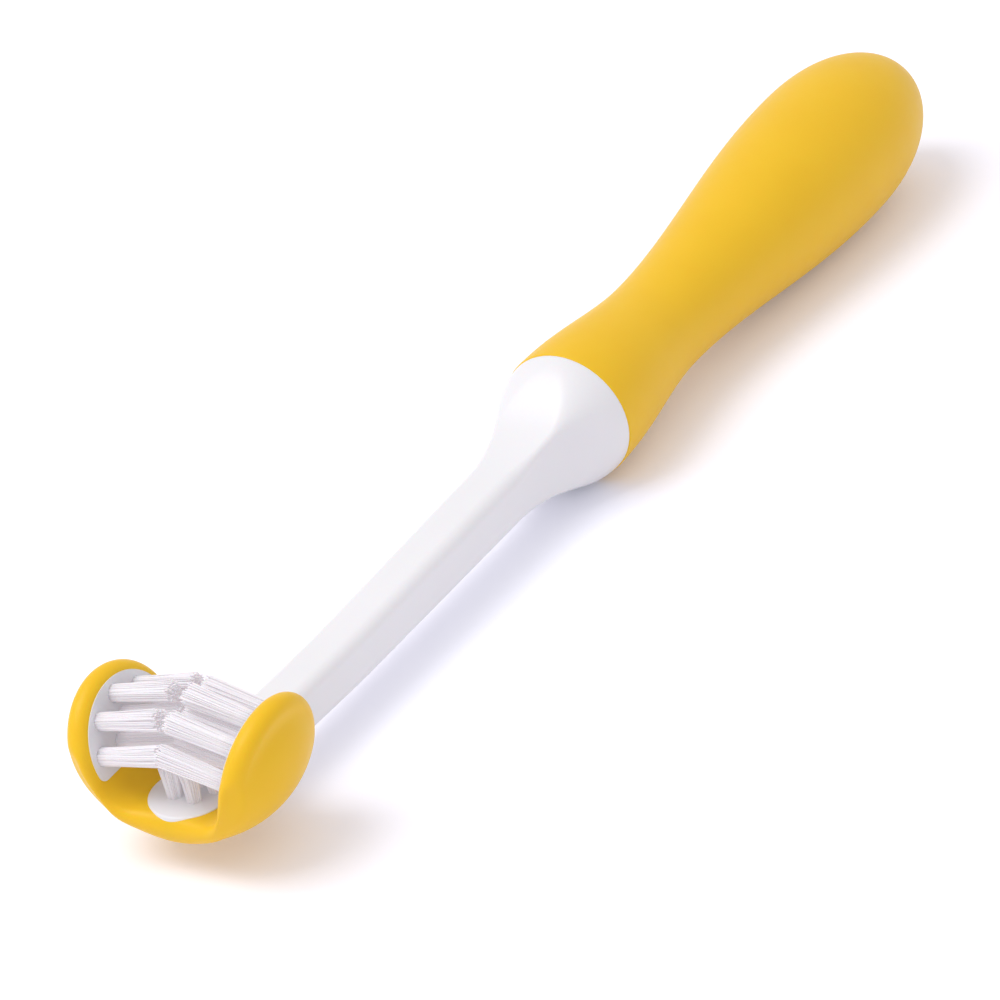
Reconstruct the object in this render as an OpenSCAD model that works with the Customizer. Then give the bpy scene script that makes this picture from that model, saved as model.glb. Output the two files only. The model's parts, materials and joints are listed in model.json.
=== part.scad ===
// Pet toothbrush with a cradle head. A hard white core runs from the head's base pad through the
// square neck and its flare into the grip. Soft skin is moulded over both ends: the pear-shaped
// grip, and the head's base and two wings. The wings hold hard bristle plates and hinge on soft
// webs, so that the brush opens round a tooth.
// Each piece is built along the brush axis: Y runs from head to grip, Z up, and the collar,
// where the grip begins, is at y = 0. The last step lays the brush on a table.

/* [Node] */
// Which piece is built
// Fineness of the round surfaces
$fn = 64; // [32:8:96]

/* [Grip] */
// Length of the soft grip from the collar to its rounded end
grip_length = 90.6; // [70:0.2:110]
// Radius of the grip where it meets the white flare
collar_r = 8.6; // [7.5:0.1:9.5]
// Radius of the grip at its waist
waist_r = 6.7; // [6:0.1:7.5]
// Distance of the waist from the collar
waist_y = 22.4; // [18:0.2:26]
// Radius of the grip at its thickest place
bulb_r = 10.5; // [9:0.1:12]
// Distance of the thickest place from the collar
bulb_y = 69; // [60:0.5:74]
// Roundness of the grip's end: 2 is an ellipse, more is blunter
end_bluntness = 2.2; // [2:0.1:2.6]
// Thickness of the soft skin round the core
grip_wall = 2.4; // [1.6:0.1:2.8]

/* [Core] */
// Half width of the square neck where it enters the head
neck_half = 2.8; // [2.4:0.05:3.2]
// Half width of the square neck where its flare starts
neck_half_flare = 3.3; // [3:0.05:3.8]
// Rounding of the neck's four edges: its diagonal over its width
neck_soft_edge = 1.22; // [1.12:0.01:1.35]
// Length of the flare that grows from the neck to the collar
flare_length = 16.5; // [12:0.5:22]
// Step between the flare's end and the thicker grip
collar_step = 0.12; // [0.05:0.01:0.4]
// Greatest radius of the core inside the grip
tang_r_max = 5.6; // [4.8:0.1:6.2]
// Length of the core inside the grip
tang_length = 80; // [60:1:82]
// Radius that each locking ring adds to the core
ring_height = 0.9; // [0.5:0.1:1.2]
// Width of a locking ring
ring_width = 2; // [1.4:0.1:2.6]
// Distance between locking rings
ring_pitch = 14; // [12:0.5:18]
// Length of each window through the core that the soft skin fills
window_length = 6.5; // [4:0.5:8]
// Width of each window through the core
window_width = 3.2; // [2.4:0.1:4]

/* [Head] */
// Distance from the collar to the middle of the two wings
head_y = 79.5; // [72:0.5:88]
// Half thickness of the soft cradle, and the radius of its full-round rim
rim_r = 1.36; // [1.2:0.02:1.6]
// Radius of the cradle's bend, at the middle of its thickness
bend_r = 9.965; // [9.8:0.005:10.2]
// Height of the cradle's bottom above the brush axis, at the middle of its thickness
bottom_z = -0.84; // [-1.2:0.02:-0.6]
// Lean of each wing from upright
wing_lean = 12.7; // [9:0.1:16]
// Radius of the round wings and half length of the cradle, at the middle of the rim
wing_r = 6.75; // [6.5:0.05:7]
// Distance of the wing's middle below the end of the bend, along the wing
wing_drop = 1.55; // [1.2:0.05:1.8]
// Thickness of the cradle's base under the pad
base_thickness = 3.45; // [3.2:0.05:3.7]
// Reach of the base's filling past the middle of the cradle's rim
filling_reach = 0.7; // [0.4:0.05:0.8]
// Rounding of the filling's long edges
filling_edge = 0.8; // [0.4:0.05:1]
// Angle of the bend where the soft web starts, from the bottom
web_from = 28; // [26:1:32]
// Angle of the bend where the soft web ends and the wing starts
web_to = 55; // [50:1:55]
// Distance from the brush axis to the middle of the cradle's outer swell
swell_x = 3.715; // [3.7:0.005:3.73]
// Height of the swell's middle above the brush axis
swell_z = 6.765; // [6.75:0.005:6.78]
// Radius of the swell across the brush
swell_r = 9.076; // [9.05:0.002:9.1]
// Radius of the swell's outline along the brush
swell_arc = 11.35; // [11.3:0.01:11.4]
// Half length of the swell
swell_half = 6.4; // [6.3:0.05:6.5]
// Wall of the soft boss round the neck's end
boss_wall = 0.7; // [0.5:0.05:1]
// Half width of the boss at its front end, inside the cradle
boss_nose = 2.2; // [1.8:0.1:2.6]
// Rounding of the boss's lip round the neck
boss_lip = 0.5; // [0.3:0.05:0.6]

/* [Plates] */
// Radius of a wing's bristle plate where it shows
plate_r = 7; // [6.6:0.05:7.2]
// Straight lower edge of the plate, below the wing's middle
plate_foot = 1.8; // [1.4:0.05:2]
// Rounding of the plate's lower corners
plate_corner = 1; // [0.6:0.1:1.4]
// Height that each plate stands out of the soft skin
plate_proud = 0.1; // [0.05:0.01:0.2]
// Thickness of a wing's bristle plate
plate_thickness = 2; // [1.9:0.05:2.1]
// Width of the plate's hidden flange under the soft lip
flange_width = 0.35; // [0.2:0.05:0.45]
// Thickness of the hidden flange
flange_thickness = 0.8; // [0.5:0.1:1]
// Radius of the round base pad
pad_r = 3.9; // [3.7:0.05:4.1]
// Distance of the base pad's middle in front of the wings' middle
pad_forward = 2.7; // [2.2:0.1:2.9]
// Thickness of the base pad
pad_thickness = 2.3; // [2.1:0.05:2.5]

/* [Bristles] */
// Radius of the hole that holds a tuft
hole_r = 1.05; // [0.9:0.01:1.1]
// Depth of the hole
hole_depth = 1.6; // [1.4:0.05:1.7]
// Clearance between a tuft and its hole
tuft_clearance = 0.03; // [0.01:0.01:0.05]
// Radius that a tuft gains from its root to its tip
tuft_flare = 0.17; // [0:0.01:0.2]
// Distance from the tips of the wings' tufts to the middle of the channel
tip_gap = 0.25; // [0.2:0.05:1]
// Radius of the outer arc of five tufts on a wing
arc_r = 5.3; // [5:0.05:5.4]
// Angle between the outer arc's tufts
arc_step = 41.5; // [38:0.5:43]
// Height of the pair of inner tufts above the wing's middle
inner_pair_s = 0.4; // [0.2:0.05:0.8]
// Half distance between the pair of inner tufts
inner_pair_y = 1.9; // [1.6:0.05:2.2]
// Height of the single inner tuft above the wing's middle
inner_top_s = 2.5; // [2.4:0.05:2.7]
// Radius of the ring of six tufts on the base pad
ring_tuft_r = 2.6; // [2.5:0.02:2.7]
// Height of the base pad's tufts above the pad
base_tuft_length = 4.1; // [3:0.1:4.3]
// Width of the flat wire that anchors a tuft
anchor_width = 2.5; // [2.3:0.05:2.6]
// Thickness of the anchor wire
anchor_thickness = 0.3; // [0.2:0.05:0.4]
// Height of the anchor wire
anchor_height = 1.1; // [0.8:0.05:1.2]
// Thickness of the filament loop under the anchor
loop_thickness = 0.2; // [0.1:0.05:0.3]

/* [Hidden] */
soft = [0.99, 0.76, 0.22];
hard = [0.93, 0.93, 0.94];
bristle = [0.96, 0.94, 0.95];
wire = [0.78, 0.66, 0.38];
// Room for a cut that runs past a face
past = 20;
// Number of stations along each stretch of the grip's outline
stations = 16;
// Half cosine from 0 to 1
function ease(t) = (1 - cos(180 * t)) / 2;
// Radius of the grip at a distance y from the collar
function grip_r(y) =
    y <= waist_y ? collar_r + (waist_r - collar_r) * ease(pow(max(y, 0) / waist_y, 1.08))
    : y <= bulb_y ? waist_r + (bulb_r - waist_r) * ease(pow((y - waist_y) / (bulb_y - waist_y), 0.94))
    : bulb_r * sqrt(max(0, 1 - pow((y - bulb_y) / (grip_length - bulb_y), end_bluntness)));
grip_ys = concat(
    [for (i = [0:stations]) waist_y * i / stations],
    [for (i = [1:stations]) waist_y + (bulb_y - waist_y) * i / stations],
    [for (i = [1:stations]) bulb_y + (grip_length - bulb_y) * sin(90 * i / stations)]);
// Rear end of the neck's straight taper and the neck's start inside the head
flare_y = -flare_length;
neck_start = -head_y + wing_r;
function neck_square(y) =
    y <= flare_y ? neck_half + (neck_half_flare - neck_half) * (y - neck_start) / (flare_y - neck_start)
    : neck_half_flare + (collar_r - collar_step - neck_half_flare) * flare_curve(y);
function neck_round(y) =
    y <= flare_y ? neck_soft_edge * neck_square(y)
    : neck_soft_edge * neck_half_flare
        + (collar_r - collar_step - neck_soft_edge * neck_half_flare) * flare_curve(y);
// Growth of the flare from 0 at the neck to 1 at the collar, steepest near two thirds
function flare_curve(y) = ease(pow(min(1, 1 + y / flare_length), 1.75));
neck_ys = concat([neck_start], [for (i = [0:20]) flare_y * (1 - i / 20)]);
// Bend of the cradle
bend_z = bottom_z + bend_r;
bend_end = 90 - wing_lean;
wing_x = bend_r * sin(bend_end) - wing_drop * sin(wing_lean);
wing_z = bend_z - bend_r * cos(bend_end) - wing_drop * cos(wing_lean);
// Height and half width of the base's flat top
base_top = bottom_z - rim_r + base_thickness;
base_half = sqrt(pow(bend_r - rim_r, 2) - pow(bend_z - base_top, 2));
// Angle by which a blank of the web or wing runs past its ends before they are cut
web_past = 4;
// Angle from the bottom past which there is no more of a wing
wedge_end = 150;
// Length of the filling's ends that is buried in the bend
base_bury = 0.3;
pad_top = base_top + plate_proud;
pad_y = -head_y - pad_forward;
boss_front = -head_y + 1.5;
boss_rear = neck_start + rim_r + 0.8;
// The grip's collar edge and its bulb lie on the table, and the head stands clear of it
table_slope = max([for (y = grip_ys) if (y > 0) (grip_r(y) - collar_r) / y]);
table_tilt = atan(table_slope);
table_lift = collar_r * cos(table_tilt);
// Moves the brush so that the middle of its length lies at y = 0
centre_shift = ((head_y + wing_r + rim_r - grip_length) * cos(table_tilt)
    + wing_z * sin(table_tilt)) / 2;
tuft_r = hole_r - tuft_clearance;
// Places of a wing's tufts, as height along the wing and distance along the brush
function arc_place(k) = [arc_r * cos(arc_step * k), arc_r * sin(arc_step * k)];
low_places = [arc_place(-2), arc_place(2)];
mid_places = [arc_place(-1), arc_place(1)];
top_places = [arc_place(0)];
inner_places = [[inner_pair_s, -inner_pair_y], [inner_pair_s, inner_pair_y]];
inner_top_places = [[inner_top_s, 0]];
wing_places = concat(low_places, mid_places, top_places, inner_places, inner_top_places);
ring_places = [for (k = [0:5]) ring_tuft_r * [cos(60 * k), sin(60 * k)]];
middle_places = [[0, 0]];
pad_places = concat(ring_places, middle_places);
wing_face = rim_r + plate_proud;

module on_table() {
    translate([0, centre_shift, table_lift]) rotate([table_tilt, 0, 0]) children();
}
// Local Z becomes the brush's Y, and local Y points down
module along_brush() {
    rotate([-90, 0, 0]) children();
}
// Local X is the height along the right wing, Y the brush's Y, and Z points inward
module on_wing() {
    translate([wing_x, -head_y, wing_z]) rotate([0, -90 + wing_lean, 0]) children();
}
module on_pad() {
    translate([0, pad_y, pad_top]) children();
}
module left() {
    mirror([1, 0, 0]) children();
}

// A turned body from pairs of place and radius along the brush
module turned(pairs) {
    along_brush() rotate_extrude() polygon(concat(
        [[0, pairs[0][0]]],
        [for (p = pairs) [p[1], p[0]]],
        [[0, pairs[len(pairs) - 1][0]]]));
}
// A square bar along the brush with softened edges, from lists of place, half width and radius
module soft_bar(ys, halves, rounds) {
    n = len(ys) - 1;
    outline = concat(
        [for (i = [0:n]) [halves[i], ys[i]]], [for (i = [n:-1:0]) [-halves[i], ys[i]]]);
    intersection() {
        translate([0, 0, -past]) linear_extrude(2 * past) polygon(outline);
        rotate([0, 90, 0]) translate([0, 0, -past]) linear_extrude(2 * past) polygon(outline);
        turned([for (i = [0:n]) [ys[i], rounds[i]]]);
    }
}
// Cross-section of the cradle: a slab with full-round ends, across the brush's length
module strap_section(half, radius) {
    translate([-radius, -half]) square([2 * radius, 2 * half]);
    for (e = [-half, half]) translate([0, e]) circle(radius);
}
// Part of the bend between two angles from the bottom, positive to the right
module bend(from, to) {
    translate([0, -head_y, bend_z]) along_brush()
        rotate([0, 0, 90 - to]) rotate_extrude(angle = to - from)
            translate([bend_r, 0]) strap_section(wing_r, rim_r);
}
// Barrel whose side is the outer swell of the cradle's right half
module barrel() {
    translate([swell_x, -head_y, swell_z]) along_brush()
        rotate([0, 0, -60]) rotate_extrude(angle = 180) intersection() {
            translate([swell_r - swell_arc, 0]) circle(swell_arc);
            translate([0, -swell_half]) square([past, 2 * swell_half]);
        }
}
// Space between two angles of the bend from the bottom
module wedge(from, to) {
    middle = (from + to) / 2;
    translate([0, -head_y, bend_z]) along_brush()
        translate([0, 0, -past]) linear_extrude(2 * past) polygon([
            [0, 0],
            [past * sin(from), past * cos(from)],
            [2 * past * sin(middle), 2 * past * cos(middle)],
            [past * sin(to), past * cos(to)]]);
}
// Part of the swell outside the middle of the bend, between two angles
module swell(from, to) {
    difference() {
        intersection() {
            barrel();
            wedge(from, to);
        }
        translate([0, -head_y, bend_z]) along_brush()
            translate([0, 0, -past]) cylinder(r = bend_r, h = 2 * past);
    }
}
// Swell outside the wing's middle plane
module wing_swell() {
    intersection() {
        barrel();
        on_wing() translate([-past, -past, -past]) cube([2 * past, 2 * past, past]);
    }
}
// Filling that gives the base its flat top, with rounded front and rear edges
module filling() {
    half = base_half + base_bury;
    reach = wing_r + filling_reach;
    low = bottom_z + rim_r / 5;
    translate([-half, -head_y, 0]) rotate([90, 0, 90]) linear_extrude(2 * half) {
        translate([-reach, low]) square([2 * reach, base_top - filling_edge - low]);
        translate([filling_edge - reach, low])
            square([2 * (reach - filling_edge), base_top - low]);
        for (e = [-1, 1]) translate([e * (reach - filling_edge), base_top - filling_edge])
            circle(filling_edge);
    }
}

module tang_outline() {
    ring_n = floor((tang_length - ring_pitch) / ring_pitch);
    function tang_r(y) = min(tang_r_max, grip_r(y) - grip_wall);
    tail = tang_length - 4;
    turned(concat(
        [for (y = [-1:2:tail]) [y, tang_r(y)]],
        [for (i = [1:6]) [tail + 4 * sin(15 * i), tang_r(tail) * cos(13 * i)]]));
    for (k = [1:ring_n]) turned([
        [k * ring_pitch - ring_width / 2, tang_r(k * ring_pitch)],
        [k * ring_pitch - ring_width / 4, tang_r(k * ring_pitch) + ring_height],
        [k * ring_pitch + ring_width / 4, tang_r(k * ring_pitch) + ring_height],
        [k * ring_pitch + ring_width / 2, tang_r(k * ring_pitch)]]);
}
module tang() {
    difference() {
        tang_outline();
        for (k = [1, 2, 3, 4]) translate([0, (k + 0.5) * ring_pitch, 0]) rotate([0, 90, 0])
            translate([0, 0, -past]) linear_extrude(2 * past) {
                square([window_width, window_length - window_width], center = true);
                for (e = [-1, 1]) translate([0, e * (window_length - window_width) / 2])
                    circle(d = window_width);
            }
    }
}
// Flat tongue and round pad at the front end of the core
module pad_solid() {
    on_pad() {
        translate([0, 0, -pad_thickness]) cylinder(r = pad_r, h = pad_thickness);
        translate([0, 0, -pad_thickness])
            cylinder(r = pad_r + flange_width, h = flange_thickness);
    }
    tongue_end = neck_start + 0.5;
    translate([-neck_half * 0.8, pad_y, pad_top - pad_thickness])
        cube([neck_half * 1.6, tongue_end - pad_y, pad_thickness - plate_proud - 0.5]);
}
module neck() {
    soft_bar(neck_ys, [for (y = neck_ys) neck_square(y)], [for (y = neck_ys) neck_round(y)]);
}
module core_blank() {
    neck();
    tang();
    pad_solid();
}
module hole(places) {
    for (p = places) translate([p[0], p[1], -hole_depth]) {
        cylinder(r = hole_r, h = hole_depth + past, $fn = 32);
        anchor_wire();
    }
}
module anchor_wire() {
    translate([-anchor_thickness / 2, -anchor_width / 2, loop_thickness])
        cube([anchor_thickness, anchor_width, anchor_height]);
}
module anchors(places) {
    color(wire) for (p = places) translate([p[0], p[1], -hole_depth]) anchor_wire();
}
// One tuft on its wire; it stands a given length out of the plate
module tuft(length) {
    difference() {
        union() {
            cylinder(r = tuft_r, h = hole_depth, $fn = 32);
            translate([0, 0, hole_depth])
                cylinder(r1 = tuft_r, r2 = tuft_r + tuft_flare, h = length, $fn = 32);
        }
        anchor_wire();
    }
}
// Length that brings a wing tuft's tip to the channel's middle, less the gap
function tuft_reach(s) =
    (wing_x + s * sin(wing_lean) - wing_face * cos(wing_lean) - tip_gap) / cos(wing_lean)
    - (tuft_r + tuft_flare) * tan(wing_lean);
module wing_tufts(places) {
    color(bristle) on_wing() for (p = places)
        translate([p[0], p[1], wing_face - hole_depth]) tuft(tuft_reach(p[0]));
}
module pad_tufts(places) {
    color(bristle) on_pad() for (p = places)
        translate([p[0], p[1], -hole_depth]) tuft(base_tuft_length);
}

// Outline of a wing's plate: round above, straight below, with rounded lower corners
module plate_outline(grow = 0) {
    r = plate_r + grow;
    low = plate_corner - plate_foot;
    side = sqrt(pow(r - plate_corner - grow, 2) - low * low);
    intersection() {
        circle(r);
        translate([low, -past]) square([past, 2 * past]);
    }
    translate([-plate_foot - grow, -side]) square([plate_corner + grow, 2 * side]);
    for (e = [-side, side]) translate([low, e]) circle(plate_corner + grow);
}
module plate_blank() {
    on_wing() {
        translate([0, 0, wing_face - plate_thickness]) linear_extrude(plate_thickness)
            plate_outline();
        translate([0, 0, wing_face - plate_thickness]) linear_extrude(flange_thickness)
            plate_outline(flange_width);
    }
}
module plate() {
    color(hard) difference() {
        plate_blank();
        on_wing() translate([0, 0, wing_face]) hole(wing_places);
    }
}
// Upper half of a round wing with a full-round rim
module half_wing() {
    on_wing() rotate([0, 0, -90]) rotate_extrude(angle = 180) {
        translate([0, -rim_r]) square([wing_r, 2 * rim_r]);
        translate([wing_r, 0]) circle(rim_r);
    }
}
module wing_skin() {
    color(soft) difference() {
        intersection() {
            union() {
                half_wing();
                bend(web_to - web_past, bend_end);
                wing_swell();
            }
            wedge(web_to, wedge_end);
        }
        plate_blank();
        on_wing() translate([0, 0, wing_face]) linear_extrude(past) plate_outline();
    }
}
module web() {
    color(soft) intersection() {
        union() {
            bend(web_from - web_past, web_to + web_past);
            swell(web_from - web_past, web_to + web_past);
        }
        wedge(web_from, web_to);
    }
}
// Soft boss that grips the neck's end: it swells out of the cradle and ends in a rounded lip
module boss() {
    lip_y = boss_rear - boss_lip;
    ys = concat(
        [for (i = [0:12]) boss_front + (lip_y - boss_front) * i / 12],
        [for (i = [1:4]) lip_y + boss_lip * sin(22.5 * i)]);
    function swell(y) = ease(min(1, 1.5 * (y - boss_front) / (lip_y - boss_front)));
    function lip(y) = boss_lip - sqrt(pow(boss_lip, 2) - pow(max(0, y - lip_y), 2));
    function half(y) = boss_nose + (neck_half + boss_wall - boss_nose) * swell(y) - lip(y);
    soft_bar(ys, [for (y = ys) half(y)], [for (y = ys) neck_soft_edge * half(y)]);
}
module base_skin() {
    color(soft) difference() {
        union() {
            bend(-web_from, web_from);
            swell(0, web_from);
            left() swell(0, web_from);
            filling();
            boss();
        }
        core_blank();
        on_pad() cylinder(r = pad_r, h = past);
    }
}
module grip_skin() {
    color(soft) difference() {
        turned([for (y = grip_ys) [y, grip_r(y)]]);
        tang();
    }
}
module core() {
    color(hard) difference() {
        core_blank();
        on_pad() hole(pad_places);
    }
}

on_table() core();
on_table() grip_skin();
on_table() base_skin();
on_table() left() web();  // left_web
on_table() web();  // right_web
on_table() left() wing_skin();  // left_wing_skin
on_table() wing_skin();  // right_wing_skin
on_table() left() plate();  // left_plate
on_table() plate();  // right_plate
on_table() left() wing_tufts(low_places);  // left_low_tufts
on_table() left() wing_tufts(mid_places);  // left_mid_tufts
on_table() left() wing_tufts(top_places);  // left_top_tuft
on_table() left() wing_tufts(inner_places);  // left_inner_tufts
on_table() left() wing_tufts(inner_top_places);  // left_inner_top_tuft
on_table() wing_tufts(low_places);  // right_low_tufts
on_table() wing_tufts(mid_places);  // right_mid_tufts
on_table() wing_tufts(top_places);  // right_top_tuft
on_table() wing_tufts(inner_places);  // right_inner_tufts
on_table() wing_tufts(inner_top_places);  // right_inner_top_tuft
on_table() pad_tufts(ring_places);  // base_ring_tufts
on_table() pad_tufts(middle_places);  // base_middle_tuft
on_table() left() on_wing() translate([0, 0, wing_face]) anchors(wing_places);  // left_anchors
on_table() on_wing() translate([0, 0, wing_face]) anchors(wing_places);  // right_anchors
on_table() on_pad() anchors(pad_places);  // base_anchors
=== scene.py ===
import json

import bmesh
import bpy
import numpy as np
from mathutils import Matrix, Vector


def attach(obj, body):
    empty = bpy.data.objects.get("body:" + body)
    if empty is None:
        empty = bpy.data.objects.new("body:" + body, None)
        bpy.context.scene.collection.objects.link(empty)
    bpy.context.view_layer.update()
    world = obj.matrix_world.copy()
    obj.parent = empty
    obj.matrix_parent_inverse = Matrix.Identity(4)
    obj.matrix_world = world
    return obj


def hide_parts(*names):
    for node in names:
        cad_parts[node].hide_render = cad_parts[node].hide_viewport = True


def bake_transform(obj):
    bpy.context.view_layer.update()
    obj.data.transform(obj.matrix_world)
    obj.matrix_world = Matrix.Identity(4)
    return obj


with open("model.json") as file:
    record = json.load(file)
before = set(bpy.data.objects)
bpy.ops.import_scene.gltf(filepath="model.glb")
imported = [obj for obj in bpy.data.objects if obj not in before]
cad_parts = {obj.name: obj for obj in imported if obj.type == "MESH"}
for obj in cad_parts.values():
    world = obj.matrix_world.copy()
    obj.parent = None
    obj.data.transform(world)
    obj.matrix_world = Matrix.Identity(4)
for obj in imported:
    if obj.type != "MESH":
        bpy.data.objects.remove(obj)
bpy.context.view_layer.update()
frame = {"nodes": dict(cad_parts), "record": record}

# Camera. It looks along the brush from above its right side, with the head below on the left
# and the grip running away to the upper right. Sizes are in millimetres in the brush's own
# frame: across, along from the collar towards the grip, and up; on_table gives metres.
grip_mount = next(m for m in frame["record"]["mounts"] if m["name"] == "hand_grip")
ALONG = np.array(grip_mount["axis"], float)
ALONG /= np.linalg.norm(ALONG)
ACROSS = np.array([1.0, 0.0, 0.0])
UPWARD = np.cross(ACROSS, ALONG)
collar_to_mount = 0.05
COLLAR = np.array(grip_mount["pos_m"]) - collar_to_mount * ALONG


def turned_to_table(vectors):
    """A direction in the brush's frame is the sum of its parts along the three brush axes."""
    return np.asarray(vectors, float) @ np.array([ACROSS, ALONG, UPWARD])


def on_table(points):
    """A point is the collar's middle plus its direction, with millimetres made metres."""
    return COLLAR + turned_to_table(points) / 1000


camera_turn, camera_height, camera_roll = np.radians([34.782, 29.816, 10.256])
camera_distance = 498.0
side = np.array([np.cos(camera_turn), np.sin(camera_turn), 0])
ahead = np.array([-np.sin(camera_turn), np.cos(camera_turn), 0])
upright = np.array([0, 0, 1.0])
sight = ahead * np.cos(camera_height) - upright * np.sin(camera_height)
level_up = ahead * np.sin(camera_height) + upright * np.cos(camera_height)
picture_right = side * np.cos(camera_roll) - level_up * np.sin(camera_roll)
picture_up = side * np.sin(camera_roll) + level_up * np.cos(camera_roll)
camera_data = bpy.data.cameras.new("camera")
camera_data.sensor_width = 36.0
camera_data.lens = 148.45
camera_data.shift_x = -0.06765
camera_data.shift_y = -0.08321
camera_data.clip_start = 0.01
camera = bpy.data.objects.new("camera", camera_data)
bpy.context.scene.collection.objects.link(camera)
pose = np.eye(4)
pose[:3, :3] = turned_to_table([picture_right, picture_up, -sight]).T
pose[:3, 3] = on_table(-camera_distance * sight)
camera.matrix_world = Matrix(pose.tolist())
bpy.context.scene.camera = camera


# Grip. A pear-shaped sleeve of soft yellow rubber, moulded over the hard core: it narrows from
# the collar to a waist, swells to a bulb and ends round. Its skin has a fine matt grain and
# lets a little light in.
collar_r, waist_r, bulb_r = 8.6, 6.7, 10.5
waist_y, bulb_y, grip_length, end_bluntness = 22.4, 69.0, 90.6, 2.2
waist_lateness, bulb_lateness = 1.08, 0.94
collar_edge, mouth_wall = 0.22, 0.4


def eased(t):
    """Half a cosine wave from 0 to 1."""
    return (1 - np.cos(np.pi * np.clip(t, 0, 1))) / 2


def grip_radius(y):
    """Half waves from collar to waist and from waist to bulb, then a blunt ellipse to the end."""
    fall = np.clip(y / waist_y, 0, 1)
    narrowing = collar_r + (waist_r - collar_r) * eased(fall ** waist_lateness)
    rise = np.clip((y - waist_y) / (bulb_y - waist_y), 0, 1)
    swelling = waist_r + (bulb_r - waist_r) * eased(rise ** bulb_lateness)
    past = np.clip((y - bulb_y) / (grip_length - bulb_y), 0, 1)
    ending = bulb_r * np.sqrt(np.clip(1 - past ** end_bluntness, 0, 1))
    return np.where(y <= waist_y, narrowing, np.where(y <= bulb_y, swelling, ending))


def ring_surface(y, r, sides):
    """Each station (y, r) becomes a circle about the brush's axis."""
    turn = np.linspace(0, 2 * np.pi, sides + 1)
    return np.stack([r[:, None] * np.sin(turn), np.broadcast_to(y[:, None], (len(y), sides + 1)),
                     r[:, None] * np.cos(turn)], axis=-1)


def sheet_faces(rows, columns):
    """Quads between neighbouring points of a grid whose points are numbered row by row."""
    corner = (np.arange(rows - 1)[:, None] * columns + np.arange(columns - 1)).ravel()
    return np.stack([corner, corner + 1, corner + columns + 1, corner + columns], axis=-1)


def moulded(name, points, faces, material, sharp=40.0):
    """A mesh object from points in brush millimetres, with equal points merged, faces outward."""
    mesh = bpy.data.meshes.new(name)
    mesh.from_pydata(on_table(points.reshape(-1, 3)), [], faces.tolist())
    piece = bpy.data.objects.new(name, mesh)
    bpy.context.scene.collection.objects.link(piece)
    tidy = bmesh.new()
    tidy.from_mesh(mesh)
    bmesh.ops.remove_doubles(tidy, verts=tidy.verts, dist=2e-7)
    bmesh.ops.dissolve_degenerate(tidy, edges=tidy.edges, dist=1e-7)
    bmesh.ops.recalc_face_normals(tidy, faces=tidy.faces)
    tidy.to_mesh(mesh)
    tidy.free()
    mesh.shade_smooth()
    mesh.set_sharp_from_angle(angle=np.radians(sharp))
    mesh.materials.append(material)
    return piece


def paint(red, green, blue):
    """The linear colour of screen values from 0 to 255."""
    share = np.array([red, green, blue]) / 255
    linear = np.where(share <= 0.04045, share / 12.92, ((share + 0.055) / 1.055) ** 2.4)
    return (*linear.tolist(), 1.0)


class Wire:
    """An output of a node. Sums and products of wires add Math nodes."""

    def __init__(self, finish, socket):
        self.finish, self.socket = finish, socket

    def math(self, operation, first, second):
        return self.finish.node("ShaderNodeMath", {"operation": operation}, [first, second])

    def __add__(self, other):
        return self.math("ADD", self, other)

    def __mul__(self, other):
        return self.math("MULTIPLY", self, other)

    __radd__, __rmul__ = __add__, __mul__


class Finish:
    """A material in the making, with its surface shader's plain values given by name."""

    def __init__(self, name, **values):
        self.material = bpy.data.materials.new(name)
        self.material.use_nodes = True
        self.tree = self.material.node_tree
        self.surface = self.tree.nodes["Principled BSDF"]
        for key, value in values.items():
            self.put(key.replace("_", " "), value)

    def put(self, key, value, node=None):
        socket = (node or self.surface).inputs[key]
        if isinstance(value, Wire):
            self.tree.links.new(value.socket, socket)
        else:
            socket.default_value = value

    def node(self, kind, settings, values, output=0):
        made = self.tree.nodes.new(kind)
        for key, value in settings.items():
            setattr(made, key, value)
        for key, value in (values.items() if isinstance(values, dict) else enumerate(values)):
            self.put(key, value, made)
        return Wire(self, made.outputs[output])

    def place(self):
        return self.node("ShaderNodeTexCoord", {}, {}, "Object")

    def noise(self, size_mm, detail=2.0, place=None):
        """Noise from 0 to 1 whose patches are about size_mm wide."""
        return self.node("ShaderNodeTexNoise", {"noise_dimensions": "3D"}, {
            "Vector": place or self.place(), "Scale": 1000 / size_mm, "Detail": detail})

    def between(self, share, first, second):
        """A colour between two colours."""
        return self.node("ShaderNodeMix", {"data_type": "RGBA"}, {0: share, 6: first, 7: second}, 2)

    def grain(self, height, depth_mm, strength=1.0):
        """Raises and lowers the surface by a height from 0 to 1."""
        self.put("Normal", self.node("ShaderNodeBump", {}, {
            "Strength": strength, "Distance": depth_mm / 1000, "Height": height}))


soft_rubber = Finish("soft_rubber", Roughness=0.46, Specular_IOR_Level=0.25,
                     Subsurface_Weight=0.12, Subsurface_Scale=0.0015)
mottle = soft_rubber.noise(9.0, 3.0)
soft_rubber.put("Base Color", soft_rubber.between(
    mottle, paint(234, 186, 28), paint(240, 193, 36)))
soft_rubber.put("Roughness", soft_rubber.noise(1.4, 2.0) * 0.1 + 0.38)
soft_rubber.grain(soft_rubber.noise(0.16, 1.0), 0.006, 0.7)

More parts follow.
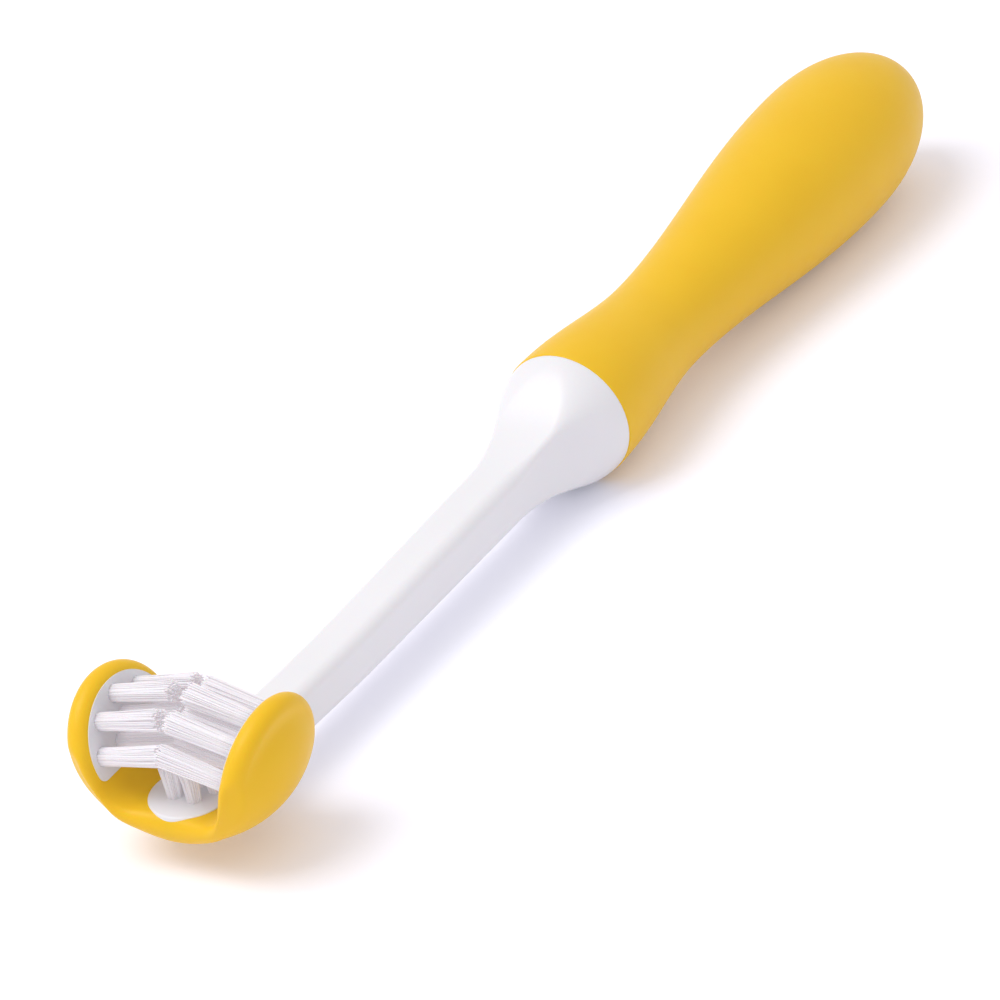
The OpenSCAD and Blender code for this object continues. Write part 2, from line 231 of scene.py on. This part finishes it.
mouth = np.linspace(0, 90, 7)
grip_y = np.concatenate([
    [0, 0], collar_edge * (1 - np.cos(np.radians(mouth))),
    np.linspace(0.6, waist_y, 30), np.linspace(waist_y, bulb_y, 60)[1:],
    bulb_y + (grip_length - bulb_y) * np.sin(np.linspace(0, np.pi / 2, 48))[1:]])
grip_r = grip_radius(grip_y)
grip_r[:2] = 0, collar_r - collar_edge - mouth_wall
grip_r[2:9] = collar_r - collar_edge * (1 - np.sin(np.radians(mouth)))
rings = ring_surface(grip_y, grip_r, 128)
grip = moulded("grip", rings, sheet_faces(*rings.shape[:2]), soft_rubber.material)
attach(grip, "brush")
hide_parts("grip_skin")


# Neck. The bare part of the hard white core: a square bar with softened edges that swells into
# a round flare at the collar, where it slips under the grip. It is one moulding with the pad
# in the head, of glossy hard plastic.
neck_half, neck_half_flare, neck_edge = 2.8, 3.3, 1.22
flare_length, neck_start, collar_step = 19.5, -72.75, 0.12
face_lateness, edge_lateness, squarest = 1.9, 1.3, 1.34
neck_drop, drop_length = 0.65, 24


def flare_growth(y, lateness):
    """0 along the neck, rising by a half wave to 1 at the collar; a late one starts slowly."""
    return eased(np.clip(1 + y / flare_length, 0, 1) ** lateness)


def neck_width(y):
    """Half the distance between opposite faces: a straight taper, then the flare."""
    taper = neck_half + (neck_half_flare - neck_half) * (
        (y - neck_start) / (-flare_length - neck_start))
    full = collar_r - collar_step
    return np.where(y <= -flare_length, taper,
                    neck_half_flare
                    + (full - neck_half_flare) * flare_growth(y, face_lateness))


def neck_diagonal(y):
    """Half the distance between opposite edges, which meets the width at the collar. The
    edges swell before the faces do and stay softly rounded."""
    full = collar_r - collar_step
    swollen = (neck_edge * neck_half_flare
               + (full - neck_edge * neck_half_flare) * flare_growth(y, edge_lateness))
    return np.where(y <= -flare_length, neck_edge * neck_width(y),
                    np.minimum(swollen, squarest * neck_width(y)))


def square_bar(y, half, diagonal, corner_steps=14, face_steps=8):
    """Cross-sections are squares whose corners are quarter circles: a circle of the corner's
    radius carried round a smaller square, with points along the faces between the corners."""
    radius = (np.sqrt(2) * half - diagonal) / (np.sqrt(2) - 1)
    inner = half - radius
    turn = np.linspace(-np.pi / 4, np.pi / 4, corner_steps + 1)
    arcs, share = [], np.linspace(-1, 1, face_steps + 1)[1:-1]
    for k in range(4):
        middle = np.pi / 4 + k * np.pi / 2
        corner = inner[:, None, None] * np.sqrt(2) * np.array([np.cos(middle), np.sin(middle)])
        round_part = np.stack([np.cos(middle + turn), np.sin(middle + turn)], axis=-1)
        arcs.append(corner + radius[:, None, None] * round_part)
        facing = middle + np.pi / 4
        out = np.array([np.cos(facing), np.sin(facing)])
        along = np.array([-np.sin(facing), np.cos(facing)])
        arcs.append(half[:, None, None] * out
                    + (inner[:, None] * share)[..., None] * along)
    loop = np.concatenate(arcs + [arcs[0][:, :1]], axis=1)
    return np.stack([loop[..., 0], np.broadcast_to(y[:, None], loop.shape[:2]), loop[..., 1]],
                    axis=-1)


hard_plastic = Finish("hard_plastic", Roughness=0.3, Specular_IOR_Level=0.5,
                      Subsurface_Weight=0.08, Subsurface_Scale=0.001)
haze = hard_plastic.noise(14.0, 2.0)
hard_plastic.put("Base Color", hard_plastic.between(
    haze, paint(230, 229, 231), paint(235, 234, 236)))
hard_plastic.put("Roughness", hard_plastic.noise(2.5, 3.0) * 0.1 + 0.27)
hard_plastic.grain(hard_plastic.noise(1.1, 2.0), 0.004, 0.5)

neck_y = np.concatenate([
    [neck_start, neck_start], np.linspace(neck_start, -flare_length, 40)[1:],
    np.linspace(-flare_length, -0.02, 46)[1:], [0.0, 0.0]])
neck_h, neck_d = neck_width(neck_y), neck_diagonal(neck_y)
neck_h[[0, -1]] = neck_d[[0, -1]] = 1e-6
neck_d[[0, -1]] *= neck_edge
bar = square_bar(neck_y, neck_h, neck_d)
# The bar runs a little under the grip's middle line
sag = (neck_drop * (1 - flare_growth(neck_y, 1.0))
       * eased((neck_y - neck_start) / drop_length))
bar[..., 2] -= sag[:, None]
neck = moulded("neck", bar, sheet_faces(*bar.shape[:2]), hard_plastic.material)
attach(neck, "brush")
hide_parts("core")

# Base pad. The round end of the core, which lies in the cradle's bottom and holds seven tufts.
# Its top edge is slightly rounded.
head_y, pad_forward = -79.5, 2.2
pad_r, pad_top, pad_thickness, pad_edge = 4.7, 1.42, 0.9, 0.18


def upright_turning(middle, heights, radii, sides):
    """Each station (height, radius) becomes a level circle about an upright axis."""
    rings = ring_surface(heights, radii, sides)
    return np.stack([rings[..., 0], -rings[..., 2], rings[..., 1]], axis=-1) + middle


edge = np.linspace(0, np.pi / 2, 6)
pad_rise = np.concatenate([[-pad_thickness] * 2, -pad_edge * (1 - np.sin(edge)), [0.0]])
pad_out = np.concatenate([[0, pad_r], pad_r - pad_edge * (1 - np.cos(edge)), [0.0]])
disc = upright_turning([0, head_y - pad_forward, pad_top], pad_rise, pad_out, 96)
pad = moulded("base_pad", disc, sheet_faces(*disc.shape[:2]), hard_plastic.material)
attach(pad, "brush")
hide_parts("core")


# Cradle. The head's soft yellow body is one moulding: a bottom under the pad, two webs that
# bend and two round wings that lean outwards and frame the plates. It is modelled as a left
# and a right half; each half's web lies between the brush and its wing.
rim_r, bend_r, bottom_z, wing_lean = 1.36, 9.965, -0.84, np.radians(12.7)
wing_r, wing_drop, base_top, corner_r = 6.75, 1.55, 1.25, 3.48
front_half, rear_half, front_lateness = 7.41, 6.85, 1.4
shave, shave_from, shave_to, shave_along = 1.1, 0.55, 1.62, 6.7
shave_ease_in, shave_ease_out, shave_ease_along = 0.4, 0.3, 1.3
bowl_r, bowl_long_r, bowl_blend, bowl_fade = 9.05, 15.0, 0.35, 1.7
bowl_middle = np.array([3.715, 6.765])
plate_r, plate_foot = 7.0, 1.8
pocket, pocket_inset, pocket_slope = 1.7, 0.3, 0.45
bend_z = bottom_z + bend_r
bend_end = np.pi / 2 - wing_lean
wing_up = np.array([np.sin(wing_lean), np.cos(wing_lean)])
wing_out = np.array([np.cos(wing_lean), -np.sin(wing_lean)])
wing_middle = np.array([0, bend_z]) + bend_r * wing_out - wing_drop * wing_up
inner_r, outer_r = bend_r - rim_r, bend_r + rim_r
# The corner's rounding touches the flat bottom and the wing's inner face
corner_up = base_top + corner_r
corner_x = (inner_r - corner_r + (corner_up - bend_z) * np.sin(wing_lean)) / np.cos(wing_lean)
corner = np.array([corner_x, corner_up])
corner_start = np.arctan2(corner_x, bend_z - base_top)
corner_stop_point = corner + corner_r * wing_out
corner_stop = np.arctan2(corner_stop_point[0], bend_z - corner_stop_point[1])


def outward(angle):
    """The direction out through the wall: away from the bend's middle, or square to the wing."""
    ray = np.stack([np.sin(angle), -np.cos(angle)], axis=-1)
    return np.where((angle < bend_end)[..., None], ray, wing_out)


def walls(angle):
    """Outer and inner points of the section, seen from the bend's middle at an angle from
    straight down. Outside is an arc, then the wing's straight face; inside is the flat
    bottom, the rounded corner and the wing's straight face. Past the bend's end the angle
    stands for the height along the wing over the inner radius."""
    ray = np.stack([np.sin(angle), -np.cos(angle)], axis=-1)
    centre = np.array([0, bend_z])
    height = (angle - bend_end) * inner_r
    on_wing = centre + height[..., None] * wing_up
    bent = (angle < bend_end)[..., None]
    outer = np.where(bent, centre + outer_r * ray, on_wing + outer_r * wing_out)
    slope = ray @ (corner - centre)
    reach_flat = (bend_z - base_top) / np.maximum(np.cos(angle), 0.05)
    reach_corner = slope + np.sqrt(np.maximum(
        slope ** 2 - (corner - centre) @ (corner - centre) + corner_r ** 2, 0))
    reach_wing = inner_r / np.maximum(np.cos(bend_end - angle), 0.05)
    reach = np.where(angle < corner_start, reach_flat,
                     np.where(angle < corner_stop, reach_corner, reach_wing))
    inner = np.where(bent, centre + reach[..., None] * ray, on_wing + inner_r * wing_out)
    return outer, inner


def angle_at(height):
    """The section's angle for a height along the wing above its middle."""
    above = (height - wing_drop) / inner_r
    return bend_end + np.where(above < 0, np.arctan(above), above)


def swell(angle, along, spare):
    """How far the outer wall stands out of the bend. It follows a bowl whose section is a
    circle that shrinks along the brush; the bowl rises softly out of the bend and dies out
    where the wall has no length to spare before the rim."""
    height = np.maximum(angle - bend_end, 0) * inner_r
    foot = np.array([0, bend_z]) + height[..., None] * wing_up
    radius = bowl_r - bowl_long_r + np.sqrt(bowl_long_r ** 2 - along ** 2)
    apart = bowl_middle - foot
    depth = (apart * outward(angle)).sum(axis=-1)
    reach = depth + np.sqrt(depth ** 2 - (apart ** 2).sum(axis=-1) + radius ** 2)
    beyond = reach - outer_r
    rise = (beyond + np.hypot(beyond, bowl_blend)) / 2
    return rise * np.sqrt(eased(spare / bowl_fade))


def cradle_half(straight=56, fan=96, spine=16, lip=16):
    """Ribs run from the section's spine to the rim and back: outside face, round rim, inside
    face. Straight ribs stand side by side from the middle of the base to the wing's middle,
    in front and behind; round the wing's top they fan out from its middle. A point of a rib
    is its distance along the rib and its share of the way from the inner to the outer wall."""
    middle_angle = angle_at(np.array(0.0))
    ladder = middle_angle * np.concatenate([[0, 0.004], np.linspace(0.016, 1, straight - 2)])
    fan_turn = np.linspace(-np.pi / 2, np.pi / 2, fan)[1:-1]
    growth = eased(ladder / middle_angle)
    full = wing_r + rim_r
    front = front_half + (full - front_half) * growth ** front_lateness
    rear = rear_half + (full - rear_half) * growth
    # Ribs: foot angle on the spine, direction and length
    foot = np.concatenate([ladder, np.full(fan - 2, middle_angle), ladder[::-1]])
    turn = np.concatenate([np.full(straight, -np.pi / 2), fan_turn, np.full(straight, np.pi / 2)])
    length = np.concatenate([front, np.full(fan - 2, full), rear[::-1]])
    outer, inner = walls(foot)
    thick = np.minimum(np.linalg.norm(outer - inner, axis=-1) / 2, rim_r + 0.1)
    face = np.linspace(0, 1, spine) ** 0.8
    round_turn = np.linspace(0, np.pi, 2 * lip + 2)[1:-1]
    flat_reach = (length - thick)[:, None]
    reach = np.concatenate([
        flat_reach * face, flat_reach + thick[:, None] * np.sin(round_turn),
        flat_reach * face[::-1]], axis=1)
    share = np.concatenate([np.ones(spine), np.cos(round_turn), -np.ones(spine)])
    share = np.broadcast_to(share, reach.shape)
    # Height along the wing and distance along the brush, from the wing's middle
    fanned = (np.abs(turn) < np.pi / 2 - 1e-9)[:, None]
    along = reach * np.sin(turn)[:, None]
    height = reach * np.cos(turn)[:, None]
    angle = np.where(fanned, angle_at(height), foot[:, None])
    outer, inner = walls(angle)
    height = np.where(angle < bend_end, wing_drop + inner_r * np.tan(angle - bend_end),
                      wing_drop + inner_r * (angle - bend_end))
    # The outside swells into a bowl and is thinner at the front of the bend, and the plate
    # lies in a pocket
    inside = np.minimum(plate_r - np.hypot(height, along), height + plate_foot)
    inside = np.where(angle > corner_stop, inside, -1)
    sunk = eased((inside - pocket_inset) / pocket_slope)[..., None] * pocket
    inner = inner + sunk * wing_out
    thinner = (eased((angle - shave_from) / shave_ease_in)
               * eased((shave_to - angle) / shave_ease_out))
    thinner = shave * thinner * eased((-along - shave_along) / shave_ease_along)
    rise = swell(angle, along, length[:, None] - reach) - thinner
    outer = outer + rise[..., None] * outward(angle)
    section = (outer + inner) / 2 + share[..., None] * (outer - inner) / 2
    points = np.stack([section[..., 0], head_y + along, section[..., 1]], axis=-1)
    rows, columns = points.shape[:2]
    faces = sheet_faces(rows, columns)
    # The cut at the middle of the base is closed by strips from its outside to its inside
    step = np.arange(columns // 2 - 1)
    caps = [np.stack([r + step, r + step + 1, r + columns - 2 - step, r + columns - 1 - step],
                     axis=-1) for r in (0, (rows - 1) * columns)]
    return points, np.concatenate([faces] + caps)


half_points, half_faces = cradle_half()
for word, way in (("right", 1), ("left", -1)):
    half = moulded(f"{word}_cradle_half", half_points * [way, 1, 1], half_faces,
                   soft_rubber.material, sharp=60.0)
    web = [sum(walls(np.array(angle))) / 2 for angle in (corner_start, corner_stop)]
    start, end = on_table([[way * p[0], head_y, p[1]] for p in web])
    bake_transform(half)
    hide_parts(f"{word}_web", f"{word}_wing_skin", "base_skin")

# Boss. The soft sleeve that swells out of the cradle's back and grips the neck's end with a
# rounded lip. It is moulded with the cradle.
boss_front, boss_rear, boss_wall, boss_nose, boss_lip = -78.0, -70.59, 0.7, 2.2, 0.5
boss_y = np.concatenate([
    [boss_front], np.linspace(boss_front, boss_rear - boss_lip, 26),
    boss_rear - boss_lip + boss_lip * np.sin(np.linspace(0, np.pi / 2, 9))[1:], [boss_rear]])
boss_swell = eased(1.5 * (boss_y - boss_front) / (boss_rear - boss_lip - boss_front))
boss_drop = boss_lip - np.sqrt(
    boss_lip ** 2 - np.clip(boss_y - boss_rear + boss_lip, 0, boss_lip) ** 2)
boss_h = boss_nose + (neck_half + boss_wall - boss_nose) * boss_swell - boss_drop
boss_h[[0, -1]] = 1e-6
sleeve = square_bar(boss_y, boss_h, neck_edge * boss_h)
boss = moulded("neck_boss", sleeve, sheet_faces(*sleeve.shape[:2]), soft_rubber.material)
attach(boss, "brush")
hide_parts("base_skin")

# Plates. Hard white plates that are pressed into the wings and drilled for the tufts. They
# keep their solids, with the core's plastic, a little more matt.
plate_finish = Finish("plate_plastic", Roughness=0.38, Subsurface_Weight=0.1,
                      Subsurface_Scale=0.001)
cloud = plate_finish.noise(5.0, 2.0)
plate_finish.put("Base Color", plate_finish.between(
    cloud, paint(222, 221, 223), paint(228, 227, 229)))
plate_finish.grain(plate_finish.noise(0.5, 2.0), 0.004, 0.5)
for word in ("left", "right"):
    plate = frame["nodes"][f"{word}_plate"]
    plate.data.materials.clear()
    plate.data.materials.append(plate_finish.material)

# Anchors. Flat brass wires that hold the folded filaments at the bottom of each hole. They
# keep their solids.
wire_finish = Finish("anchor_wire", Metallic=1.0, Roughness=0.3)
tarnish = wire_finish.noise(0.8, 3.0)
wire_finish.put("Base Color", wire_finish.between(
    tarnish, paint(196, 164, 92), paint(222, 196, 128)))
wire_finish.put("Roughness", tarnish * 0.25 + 0.22)
for word in ("left", "right", "base"):
    anchor = frame["nodes"][f"{word}_anchors"]
    anchor.data.materials.clear()
    anchor.data.materials.append(wire_finish.material)

# Tufts. Each tuft is a bundle of straight nylon filaments, stapled in its hole and splayed
# towards its tips. The wings' tufts are trimmed square, not quite evenly, so that they meet
# low in the channel and stand apart at the top. Each filament's end is rounded.
filament_r, filament_pitch, root = 0.077, 0.152, 0.6
place_chance, lean_chance, too_short, too_long, splay_lateness = 0.02, 0.08, 0.4, 0.3, 1.15
# The nylon glows faintly through its emission: painted light that lifts the shade between the
# filaments.
nylon = Finish("nylon_bristle", Roughness=0.34, Specular_IOR_Level=0.4, IOR=1.53,
               Subsurface_Weight=0.15, Subsurface_Scale=0.001, Emission_Strength=0.15,
               Emission_Color=(1.0, 0.96, 1.0, 1))
# The tone attribute gives each filament its own colour at random; the base tufts' lower range of it
# is painted shade.
tone_and_shade = nylon.node("ShaderNodeAttribute", {"attribute_name": "tone_and_shade"}, {}, "Fac")
streak = nylon.noise(0.9, 2.0)
nylon.put("Base Color", nylon.between(
    tone_and_shade * 0.8 + streak * 0.2, paint(206, 202, 205), paint(232, 227, 231)))
nylon.put("Roughness", tone_and_shade * 0.12 + 0.3)
nylon.grain(nylon.noise(0.06, 1.0), 0.004, 0.6)


def packed_places(radius, pitch):
    """Rows of points like stacked rods, as many as fit in a circle."""
    n = int(radius / pitch) + 2
    i, j = np.meshgrid(np.arange(-n, n + 1), np.arange(-n, n + 1))
    places = np.stack([i + j / 2, j * np.sqrt(3) / 2], axis=-1).reshape(-1, 2) * pitch
    return places[np.hypot(*places.T) < radius - filament_r * 0.9]


def filaments(start, axes, length, radius, flare, tones_and_shade, chance, sides=6):
    """A rod follows start + offset * spread + height * out; its circle has the filament's
    radius, closed flat at the root and drawn in over the last steps to a round end. The
    spread grows towards the tip. A rod's lean, length and tone differ a little by chance."""
    first, second, out = axes
    offset = packed_places(radius, filament_pitch)
    count = len(offset)
    offset = offset + chance.normal(0, place_chance, offset.shape)
    lean = chance.normal(0, lean_chance, (count, 2)) + offset * flare / radius
    own = length + chance.uniform(-too_short, too_long, count)
    tone_and_shade = chance.uniform(*tones_and_shade, count)
    share = np.array([0, 0, 0.25, 0.5, 0.75, 1, 1, 1])
    back = np.array([0, 0, 0, 0, 0, -0.9, -0.35, 0]) * filament_r
    width = np.array([0, 1, 1, 1, 1, 1, 0.75, 0]) * filament_r
    height = -root + (own[:, None] + root) * share + back
    spread = np.clip(height / length, 0, None)[..., None] ** splay_lateness
    middle = offset[:, None] + lean[:, None] * spread
    turn = np.linspace(0, 2 * np.pi, sides + 1) + chance.random(count)[:, None] * 6.28
    circle = np.stack([np.cos(turn), np.sin(turn)], axis=-1)
    around = middle[:, :, None] + width[None, :, None, None] * circle[:, None]
    points = (start + around[..., :1] * first + around[..., 1:] * second
              + np.broadcast_to(height[..., None, None], around.shape[:3] + (1,)) * out)
    return points, tone_and_shade


def tuft_piece(name, body, roots, chance):
    """All rods of one piece's tufts; a root holds the values that filaments asks for."""
    bundles = [filaments(*r, chance) for r in roots]
    points = np.concatenate([b[0] for b in bundles])
    tones_and_shade = np.concatenate([b[1] for b in bundles])
    count, rows, columns = points.shape[:3]
    one = sheet_faces(rows, columns)
    # The last column repeats the first, and the first and last rows are one point each
    one = np.where(one % columns == columns - 1, one - columns + 1, one)
    faces = (one[None] + np.arange(count)[:, None, None] * rows * columns).reshape(-1, 4)
    mesh = bpy.data.meshes.new(f"{name}_filaments")
    mesh.from_pydata(on_table(points.reshape(-1, 3)), [], faces.tolist())
    tone_and_shade = mesh.attributes.new("tone_and_shade", "FLOAT", "POINT")
    tone_and_shade.data.foreach_set("value", np.repeat(tones_and_shade, rows * columns).astype(np.float32))
    piece = bpy.data.objects.new(f"{name}_filaments", mesh)
    bpy.context.scene.collection.objects.link(piece)
    rods = bmesh.new()
    rods.from_mesh(mesh)
    bmesh.ops.delete(rods, geom=[v for v in rods.verts if not v.link_faces], context="VERTS")
    bmesh.ops.remove_doubles(rods, verts=rods.verts, dist=1e-8)
    bmesh.ops.dissolve_degenerate(rods, edges=rods.edges, dist=1e-8)
    bmesh.ops.recalc_face_normals(rods, faces=rods.faces)
    rods.to_mesh(mesh)
    rods.free()
    mesh.shade_smooth()
    mesh.materials.append(nylon.material)
    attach(piece, body)
    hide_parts(name)


plate_proud, wing_tuft_r, wing_flare, wing_tones = 0.1, 1.08, 0.22, (0.4, 1)
arc_r, arc_step, meeting_height = 5.3, np.radians(41.5), 1.3
inner_height, inner_half_gap, inner_top = 0.4, 1.9, 2.5
wing_face = rim_r + plate_proud
# The wings' tufts are trimmed alike, to meet near the wing's middle height
wing_tuft_length = ((wing_middle[0] - wing_face * wing_out[0] + meeting_height * wing_up[0])
                    / np.cos(wing_lean))


def arc_place(k):
    """The place of the outer arc's tuft k, counted from the wing's top: height and along."""
    return arc_r * np.cos(arc_step * k), arc_r * np.sin(arc_step * k)


wing_tufts = {
    "low_tufts": [arc_place(-2), arc_place(2)],
    "mid_tufts": [arc_place(-1), arc_place(1)],
    "top_tuft": [arc_place(0)],
    "inner_tufts": [(inner_height, -inner_half_gap), (inner_height, inner_half_gap)],
    "inner_top_tuft": [(inner_top, 0.0)]}
chance = np.random.default_rng(7)
for word, way in (("right", 1), ("left", -1)):
    flip = np.array([way, 1, 1])
    first = np.array([wing_up[0], 0, wing_up[1]]) * flip
    out = np.array([-wing_out[0], 0, -wing_out[1]]) * flip
    axes = (first, np.array([0, 1.0, 0]), out)
    for group, places in wing_tufts.items():
        roots = []
        for height, along in places:
            start = np.array([wing_middle[0], head_y + along, wing_middle[1]]) * flip
            start = start + height * first + wing_face * out
            roots.append((start, axes, wing_tuft_length, wing_tuft_r, wing_flare, wing_tones))
        tuft_piece(f"{word}_{group}", f"{word}_wing", roots, chance)

# The base pad's seven tufts are short and slim at the root, and stand in the wings' shade.
# That shade is painted into them: their colour takes a darker range of tones than the wings' tufts.
ring_tuft_r, base_tufts_y, base_tuft_length = 2.6, head_y - 1.1, 4.0
base_tuft_r, base_flare, base_painted_shade_tones = 0.85, 0.4, (0, 0.55)
level = (np.array([1.0, 0, 0]), np.array([0, 1.0, 0]), np.array([0, 0, 1.0]))
base_middle = np.array([0, base_tufts_y, pad_top])
base_kind = (level, base_tuft_length, base_tuft_r, base_flare, base_painted_shade_tones)
sixth = np.arange(6) * np.pi / 3
ring = ring_tuft_r * np.stack([np.cos(sixth), np.sin(sixth), 0 * sixth], axis=-1)
tuft_piece("base_ring_tufts", "brush", [(base_middle + place, *base_kind) for place in ring],
           chance)
tuft_piece("base_middle_tuft", "brush", [(base_middle, *base_kind)], chance)

# Table and light. A white table under a soft wide lamp from the upper left and an even white
# sky. The sky and the table show white behind the brush and keep its shadow.
table_mesh = bpy.data.meshes.new("table")
table_mesh.from_pydata([(-3, -3, 0), (3, -3, 0), (3, 3, 0), (-3, 3, 0)], [], [(0, 1, 2, 3)])
table = bpy.data.objects.new("table", table_mesh)
bpy.context.scene.collection.objects.link(table)
table_top = Finish("table_top", Base_Color=(0.95, 0.94, 1.0, 1), Roughness=0.9,
                   Specular_IOR_Level=0.0, Emission_Color=(0.75, 0.85, 1, 1))
seen = table_top.node("ShaderNodeLightPath", {}, {}, "Is Camera Ray")
for kind in ("Is Glossy Ray", "Is Transmission Ray"):
    seen = seen + table_top.node("ShaderNodeLightPath", {}, {}, kind)
table_top.put("Emission Strength", seen * 0.13)
table_mesh.materials.append(table_top.material)

world = bpy.data.worlds.new("sky")
bpy.context.scene.world = world
world.use_nodes = True
sky = world.node_tree
sky.nodes.clear()
even, white = sky.nodes.new("ShaderNodeBackground"), sky.nodes.new("ShaderNodeBackground")
even.inputs["Color"].default_value = (0.985, 0.97, 1.0, 1)
even.inputs["Strength"].default_value = 0.76
white.inputs["Strength"].default_value = 1.0
rays, mix = sky.nodes.new("ShaderNodeLightPath"), sky.nodes.new("ShaderNodeMixShader")
seen = rays.outputs["Is Camera Ray"]
for kind in ("Is Glossy Ray", "Is Transmission Ray"):
    either = sky.nodes.new("ShaderNodeMath")
    either.operation = "MAXIMUM"
    sky.links.new(seen, either.inputs[0])
    sky.links.new(rays.outputs[kind], either.inputs[1])
    seen = either.outputs[0]
sky.links.new(seen, mix.inputs[0])
sky.links.new(even.outputs[0], mix.inputs[1])
sky.links.new(white.outputs[0], mix.inputs[2])
sky.links.new(mix.outputs[0], sky.nodes.new("ShaderNodeOutputWorld").inputs[0])

lamp_distance, lamp_size, lamp_power = 1.0, 0.6, 4.7
lamp_data = bpy.data.lights.new("key", "AREA")
lamp_data.size = lamp_size
lamp_data.energy = lamp_power
lamp = bpy.data.objects.new("key", lamp_data)
bpy.context.scene.collection.objects.link(lamp)
toward = Vector(turned_to_table(-0.45 * side - 0.08 * ahead + 0.85 * upright)).normalized()
lamp.matrix_world = (Matrix.Translation(toward * lamp_distance)
                     @ toward.to_track_quat("Z", "Y").to_matrix().to_4x4())
bpy.context.scene.view_settings.view_transform = "Standard"
